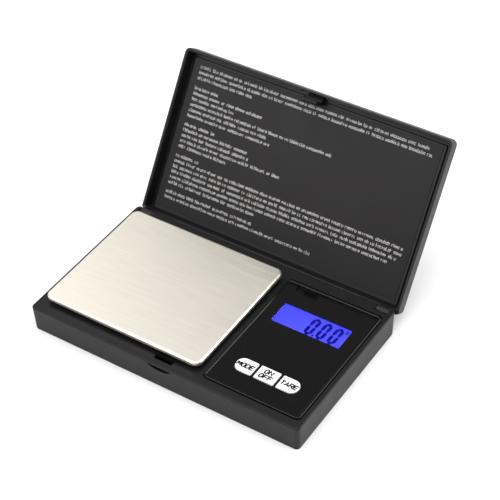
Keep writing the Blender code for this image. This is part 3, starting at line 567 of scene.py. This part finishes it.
def refine(node, look, edge=0.0):
    """A copy of a CAD node with merged points, smooth round faces and, if edge is given, rounded edges."""
    source = frame["nodes"][node]
    shape = bmesh.new()
    shape.from_mesh(source.data)
    bmesh.ops.remove_doubles(shape, verts=shape.verts, dist=0.002 * MM)
    bmesh.ops.dissolve_limit(shape, angle_limit=math.radians(1), verts=shape.verts, edges=shape.edges)
    slot = SLOTS[node]
    piece = finish_piece(f"{node}_fine", shape, look[slot], source["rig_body"], [node])
    if edge:
        soften(piece, edge)
    else:
        piece.data.set_sharp_from_angle(angle=math.radians(35))
    return piece


# ---------------------------------------------------------------- pan


def build_pan(look):
    """The weighing pan: one sheet with its edges folded down over a small radius."""
    x = span("weighing_pan", 0)
    y = span("weighing_pan", 1)
    low, top = span("weighing_pan", 2)
    sheet = 0.6 * MM
    bend = 0.95 * MM
    corner = 3.2 * MM

    def ring(z, inset):
        return rounded_ring(grown(x, -inset), grown(y, -inset), max(corner - inset, 0.5 * MM), z)

    inner = [(drop, inset) for drop, inset in round_over(bend - sheet, 4)]
    rings = [ring(top - sheet - drop, sheet + inset) for drop, inset in reversed(inner)]
    rings += [ring(low + 0.08 * MM, sheet), ring(low, sheet - 0.08 * MM)]
    rings += [ring(low, 0.1 * MM), ring(low + 0.1 * MM, 0)]
    rings += [ring(top - drop, inset) for drop, inset in round_over(bend, 7)]
    shape = loft(rings)
    pan = finish_piece("pan_sheet", shape, look["pan_steel"], "platform", ["weighing_pan"])
    soften(pan, 0.05 * MM)


# ---------------------------------------------------------------- panel, display and keys


def key_outline(index, by, z):
    """Outline of a key grown by a distance: round outer ends and nearly square inner corners."""
    node = list(KEYS)[index]
    flange = 0.4 * MM
    big = 3.3 * MM + by
    small = max(0.5 * MM + by, 0.2 * MM)
    radii = ((small, big, big, small), (small,) * 4, (big, small, small, big))[index]
    return rounded_ring(grown(span(node, 0), by - flange), grown(span(node, 1), by - flange), radii, z)


def build_panel(look):
    """The glossy display panel with its raised rim, and the clear window set in it."""
    x = span("panel_bezel", 0)
    y = span("panel_bezel", 1)
    low, rim = span("panel_bezel", 2)
    face = 12.6 * MM
    corner = 1.8 * MM

    def ring(z, inset):
        return rounded_ring(grown(x, -inset), grown(y, -inset), max(corner - inset, 0.4 * MM), z)

    rings = [ring(low, 0)]
    rings += [ring(rim - drop, inset) for drop, inset in round_over(0.5 * MM)]
    rings += [ring(rim, 0.7 * MM), ring(rim - 0.05 * MM, 0.8 * MM)]
    rings += [ring(face + 0.03 * MM, 0.95 * MM), ring(face, 1.1 * MM)]
    shape = loft(rings)
    panel = finish_piece("panel_face", shape, look["panel_gloss"], "base", ["panel_bezel"])
    through = (8 * MM, 16 * MM)
    hole_x = grown(WINDOW_X, 0.3 * MM)
    hole_y = grown(WINDOW_Y, 0.3 * MM)
    carve(panel, "DIFFERENCE", loft([rounded_ring(hole_x, hole_y, 0.6 * MM, z) for z in through]))
    openings = bmesh.new()
    for index in range(3):
        add_loft(openings, [key_outline(index, 0.25 * MM, z) for z in through])
    carve(panel, "DIFFERENCE", openings)
    relief = ((23.4 * MM, 31.9 * MM), (26.4 * MM, y[1] - 1.2 * MM), (face - 0.75 * MM, 16 * MM))
    carve(panel, "DIFFERENCE", boxes(relief))
    soften(panel, 0.07 * MM)

    low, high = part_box("display_window")
    window = [rounded_ring((low.x, high.x), (low.y, high.y), 0.5 * MM, low.z)]
    for drop, inset in round_over(0.04 * MM, 2):
        across = (low.x + inset, high.x - inset)
        along = (low.y + inset, high.y - inset)
        window.append(rounded_ring(across, along, 0.5 * MM, high.z - drop))
    piece = finish_piece(
        "window_lens", loft(window), look["window_clear"], "base", ["display_window"]
    )
    soften(piece, 0.04 * MM)


def segment(shape, centre, length, along_x, z):
    """One bar of a seven-segment digit, with pointed ends, leaning with the digit."""
    half = DIGIT_BAR / 2
    tip = length / 2
    outline = [(-tip, 0), (-tip + half, -half), (tip - half, -half)]
    outline += [(-along, -across) for along, across in outline]
    if not along_x:
        outline = [(-across, along) for along, across in outline]
    points = []
    for across, along in outline:
        y = centre[1] + along
        points.append((centre[0] + across + DIGIT_SLANT * (y - DIGIT_Y), y))
    add_loft(shape, [[(*point, height) for point in points] for height in z])


def build_display(look):
    """The lit LCD with its dark digits and its unit mark."""
    low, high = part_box("lcd_glass")
    corner = 0.3 * MM
    shape = loft([rounded_ring((low.x, high.x), (low.y, high.y), corner, z) for z in (low.z, high.z)])
    glass = finish_piece("lcd_cell", shape, look["lcd_glass"], "base", ["lcd_glass"])
    soften(glass, 0.08 * MM)

    z = (high.z + 0.01 * MM, high.z + 0.05 * MM)
    marks = bmesh.new()
    reach_x = (DIGIT_W - DIGIT_BAR) / 2
    reach_y = (DIGIT_H - DIGIT_BAR) / 4
    gap = 0.04 * MM
    for x in DIGIT_X:
        for side in (-1, 1):
            segment(marks, (x, DIGIT_Y + 2 * side * reach_y), 2 * reach_x - gap, True, z)
            for row in (-1, 1):
                centre = (x + side * reach_x, DIGIT_Y + row * reach_y)
                segment(marks, centre, 2 * reach_y - gap, False, z)
    point_x = (DIGIT_X[0] + DIGIT_X[1]) / 2 - DIGIT_SLANT * DIGIT_H / 2
    point_y = DIGIT_Y - DIGIT_H / 2 + DIGIT_BAR / 2
    half = 0.42 * MM
    x = (point_x - half, point_x + half)
    y = (point_y - half, point_y + half)
    add_loft(marks, [rounded_ring(x, y, 0.2 * MM, height, 3) for height in z])
    finish_piece("lcd_digits", marks, look["lcd_ink"], "base")
    unit = bmesh.new()
    loop = [(0.0, 0.9), (0.0, 1.7), (0.9, 1.7), (0.9, 0.9), (0.0, 0.9)]
    tail = [(0.9, 0.9), (0.9, 0.2), (0.0, 0.2)]
    for line in (loop, tail):
        points = [(UNIT_AT[0] + x * MM, UNIT_AT[1] + y * MM) for x, y in line]
        add_pen_line(unit, points, 0.3 * MM, z)
    finish_piece("lcd_unit", unit, look["lcd_ink"], "base")


def add_pen_line(shape, points, width, z):
    """A flat bar of even width along a line of points, mitred at its corners."""
    closed = points[0] == points[-1]
    path = [Vector(point) for point in (points[:-1] if closed else points)]
    count = len(path)
    sides = []
    for i, point in enumerate(path):
        before = path[i - 1] if closed or i else None
        after = path[(i + 1) % count] if closed or i < count - 1 else None
        ways = [way.normalized() for way in (before and point - before, after and after - point) if way]
        along = sum(ways, Vector((0, 0))).normalized()
        across = Vector((-along.y, along.x))
        reach = width / 2 / max(along.dot(ways[0]), 0.5)
        sides.append((point + across * reach, point - across * reach))
    rows = [[shape.verts.new((*end, height)) for height in z for end in pair] for pair in sides]
    for i in range(count if closed else count - 1):
        here, there = rows[i], rows[(i + 1) % count]
        for a, b in ((0, 1), (1, 3), (3, 2), (2, 0)):
            shape.faces.new((here[a], here[b], there[b], there[a]))
    if not closed:
        for row in (rows[0], rows[-1]):
            shape.faces.new((row[0], row[1], row[3], row[2]))


def lettering(name, lines, place, material, body):
    """Bold slanted capitals as thin solids on a level face; each line is (word, centre x, centre y)."""
    shape = bmesh.new()
    z = (place[2] + 0.005 * MM, place[2] + 0.04 * MM)
    wide = LEGEND_PITCH * 0.76
    for word, centre_x, centre_y in lines:
        start = place[0] + centre_x - (len(word) * LEGEND_PITCH - (LEGEND_PITCH - wide)) / 2
        for number, letter in enumerate(word):
            for stroke in LETTERS[letter]:
                points = []
                for across, up in stroke:
                    rise = (up - 0.5) * LEGEND_CAP
                    x = start + number * LEGEND_PITCH + across * wide + LEGEND_SLANT * rise
                    points.append((x, place[1] + centre_y + rise))
                add_pen_line(shape, points, LEGEND_PEN, z)
    piece = finish_piece(name, shape, material, body)
    piece.data.set_sharp_from_angle(angle=math.radians(35))


def build_keys(look):
    """Three keys in a row with domed tops, and their plain function words."""
    for index, (node, words) in enumerate(KEYS.items()):
        low, top = span(node, 2)
        flange_top = low + 1.2 * MM
        rings = [key_outline(index, 0.32 * MM, low), key_outline(index, 0.4 * MM, low + 0.08 * MM)]
        rings += [key_outline(index, 0.4 * MM, flange_top), key_outline(index, 0, flange_top)]
        rings += [key_outline(index, -inset, top - drop) for drop, inset in round_over(0.42 * MM, 6)]
        key = finish_piece(f"{node}_cap", loft(rings), look["key_white"], node, [node])
        soften(key, 0.05 * MM)
        place = (sum(span(node, 0)) / 2, sum(span(node, 1)) / 2, top)
        if len(words) == 1:
            rows = [(words[0], (0.15, 0, 0.1)[index] * MM, -0.15 * MM)]
        else:
            rows = [(word, 0, (1.4 - 2.8 * row) * MM) for row, word in enumerate(words)]
        lettering(f"{node}_legend", rows, place, look["key_ink"], node)


# ---------------------------------------------------------------- lid


def build_lid(look):
    """The lid shell, built shut and shown swung open."""
    half_x = BASE_W / 2 + DRAFT
    half_y = BASE_D / 2 + DRAFT

    def outside(z, inset):
        return rounded_ring(
            (-half_x + inset, half_x - inset), (-half_y + inset, half_y - inset), 2.4 * MM - 0.5 * inset, z
        )

    inner_x = (-half_x + LID_WALL, half_x - LID_WALL)
    inner_y = (-half_y + LID_WALL, half_y - LID_REAR_WALL)
    rings = []
    for drop, inset in reversed(list(round_over(0.35 * MM, 4))):
        x = grown(PLATEAU_X, -inset)
        y = grown(PLATEAU_Y, -inset)
        rings.append(rounded_ring(x, y, 1.0 * MM - inset, PLATEAU_Z + drop))
    rings += [
        rounded_ring(PLATEAU_X, PLATEAU_Y, 1.0 * MM, GROOVE_Z),
        rounded_ring(inner_x, inner_y, 1.2 * MM, GROOVE_Z),
    ]
    for drop, inset in round_over(0.7 * MM, 4):
        x = grown(inner_x, inset)
        y = grown(inner_y, inset)
        rings.append(rounded_ring(x, y, 1.2 * MM + inset, RIM_Z + drop))
    rings += [outside(RIM_Z + drop, inset) for drop, inset in reversed(list(round_over(0.25 * MM, 4)))]
    rings += [outside(LID_TOP_Z - drop, inset) for drop, inset in round_over(1.6 * MM, 8)]
    shape = loft(rings)
    shell = finish_piece("lid_cover", shape, look["lid_black"], "lid", ["lid_shell"], lid=True)

    ears = [(EAR_X[0], AXIS.y, AXIS.z), (-EAR_X[1], AXIS.y, AXIS.z)]
    carve(shell, "UNION", rods(ears, BARREL_R, (0, EAR_X[1] - EAR_X[0]), "X"))
    webs = []
    for side in (-1, 1):
        x = mirrored(EAR_X, side)
        webs.append((x, (AXIS.y - 1.7 * MM, half_y), (AXIS.z + 0.3 * MM, RIM_Z + 0.8 * MM)))
    carve(shell, "UNION", boxes(*webs))
    bores = [(EAR_X[0] - 1 * MM, AXIS.y, AXIS.z), (-EAR_X[1] + 0.6 * MM, AXIS.y, AXIS.z)]
    carve(shell, "DIFFERENCE", rods(bores, BORE_R, (0, EAR_X[1] - EAR_X[0] + 0.4 * MM), "X"))
    heels = bmesh.new()
    for side in (-1, 1):
        x = mirrored((EAR_X[1] + 0.4 * MM, 66 * MM), side)
        profile = (
            (half_y - HEEL, RIM_Z),
            (half_y - HEEL - 1 * MM, RIM_Z - 1 * MM),
            (half_y + 1 * MM, RIM_Z - 1 * MM),
            (half_y + 1 * MM, RIM_Z + HEEL + 1 * MM),
            (half_y, RIM_Z + HEEL),
        )
        add_loft(heels, [[(across, y, z) for y, z in profile] for across in x])
    carve(shell, "DIFFERENCE", heels)
    recess_y = (-half_y + 0.85 * MM, PLATEAU_Y[0] + 2.2 * MM)
    carve(shell, "DIFFERENCE", boxes(((-6 * MM, 6 * MM), recess_y, (RIM_Z - 1 * MM, GROOVE_Z - 0.2 * MM))))
    soften(shell, 0.14 * MM)


def build_label(look):
    """The dark printed panel in the lid, with rows of illegible marks for its print."""
    shape = bmesh.new()
    deep = LABEL_Y[0] + 1.35 * MM
    notch = 6.5 * MM
    outline = [
        (LABEL_X[1], LABEL_Y[1]),
        (LABEL_X[0], LABEL_Y[1]),
        (LABEL_X[0], LABEL_Y[0]),
        (-notch, LABEL_Y[0]),
        (-notch, deep),
        (notch, deep),
        (notch, LABEL_Y[0]),
        (LABEL_X[1], LABEL_Y[0]),
    ]
    add_loft(shape, [[(x, y, z) for x, y in outline] for z in LABEL_Z])
    slot = "label_grey"
    label = finish_piece("lid_panel", shape, look[slot], "lid", ["lid_label"], lid=True)
    soften(label, 0.04 * MM)

    # Each paragraph is a list of line lengths in millimetres. A single short line is a heading.
    paragraphs = [(112, 114, 29), (12,), (36, 22, 72, 41, 42), (16,), (33, 35, 51, 25), (13,)]
    paragraphs += [(114, 114, 112, 109, 45), (45, 75)]
    left = -57.2 * MM
    pitch = 2.46 * MM
    after = {0: 2.0 * MM, 2: 1.7 * MM, 4: 1.8 * MM, 6: 1.7 * MM}
    y = AXIS.y - 67.1 * MM
    dice = random.Random(5)
    marks = bmesh.new()
    for number, lengths in enumerate(paragraphs):
        for length in lengths:
            print_line(marks, dice, left, left + length * MM, y)
            y += pitch
        y += after.get(number, 0)
    finish_piece("lid_print", marks, look["label_ink"], "lid", lid=True)


def print_line(shape, dice, start, end, y):
    """A row of words made of random upright and level strokes, too simple to be letters."""
    cell = 0.74 * MM
    gap = 0.2 * MM
    height = 1.05 * MM
    tall = 1.5 * MM
    pen = 0.17 * MM
    z = (LABEL_Z[0] - 0.025 * MM, LABEL_Z[0] - 0.002 * MM)
    x = start
    while x < end:
        for _ in range(dice.randint(2, 9)):
            if x + cell > end + gap:
                break
            up = tall if dice.random() < 0.25 else height
            strokes = [((x, x + pen), (y - up, y))]
            if dice.random() < 0.72:
                strokes.append(((x + cell - pen, x + cell), (y - height, y)))
            for level in dice.sample((0.0, 0.5, 1.0), dice.choice((1, 1, 2))):
                low = y - level * (height - pen) - pen
                strokes.append(((x + pen, x + cell - pen), (low, low + pen)))
            for across, along in strokes:
                add_box(shape, across, along, z)
            x += cell + gap
        x += cell


# ---------------------------------------------------------------- stage


def build_stage():
    """Pale floor, even surroundings, a large soft light overhead and four weaker ones round the scale."""
    shape = bmesh.new()
    bmesh.ops.create_grid(shape, x_segments=1, y_segments=1, size=6)
    mesh = bpy.data.meshes.new("floor")
    shape.to_mesh(mesh)
    shape.free()
    floor = bpy.data.objects.new("floor", mesh)
    look = Look("floor", (0.9, 0.9, 0.9), 0.8)
    mesh.materials.append(look.material)
    bpy.context.scene.collection.objects.link(floor)

    world = bpy.data.worlds.new("surroundings")
    world.use_nodes = True
    background = world.node_tree.nodes["Background"]
    background.inputs["Color"].default_value = (1, 1, 1, 1)
    background.inputs["Strength"].default_value = 0.4
    bpy.context.scene.world = world

    for name, place, size, power in (
        ("overhead", (0.3, -0.25, 2.0), (2.2, 2.2), 42.0),
        ("rear", (0.6, 1.5, 1.3), (1.8, 1.0), 3.5),
        ("softbox", (-1.24, 0.48, 1.15), (1.3, 1.0), 4.5),
        ("right", (1.0, 0.7, 0.4), (0.9, 0.6), 10.5),
        ("front", (-0.62, -0.95, 0.9), (0.8, 0.6), 7.5),
    ):
        light = bpy.data.lights.new(name, "AREA")
        light.shape = "RECTANGLE"
        light.size, light.size_y = size
        light.energy = power
        lamp = bpy.data.objects.new(name, light)
        lamp.location = place
        lamp.rotation_euler = (AIM - Vector(place)).to_track_quat("-Z", "Y").to_euler()
        bpy.context.scene.collection.objects.link(lamp)


def build_camera():
    camera = bpy.data.cameras.new("camera")
    camera.lens = FOCAL_LENGTH
    camera.clip_start = 0.01
    eye = bpy.data.objects.new("camera", camera)
    turn = Matrix.Rotation(AZIMUTH, 4, "Z") @ Matrix.Rotation(math.pi / 2 - ELEVATION, 4, "X")
    turn = turn @ Matrix.Rotation(ROLL, 4, "Z")
    eye.matrix_world = Matrix.Translation(AIM) @ turn @ Matrix.Translation((0, 0, DISTANCE))
    bpy.context.scene.collection.objects.link(eye)
    bpy.context.scene.camera = eye


def dress_cad_nodes(look):
    """Gives every CAD node that stays its finished material."""
    for node, obj in frame["nodes"].items():
        obj.data.materials.clear()
        obj.data.materials.append(look[SLOTS[node]])


looks = make_looks()
dress_cad_nodes(looks)
build_case(looks)
build_pan(looks)
build_panel(looks)
build_display(looks)
build_keys(looks)
build_lid(looks)
build_label(looks)
for part in ("lid_latch", "battery_door", "platform_carrier", "bottom_cover"):
    refine(part, looks, 0.12 * MM)
build_stage()
build_camera()
bpy.context.scene.view_settings.view_transform = "Standard"
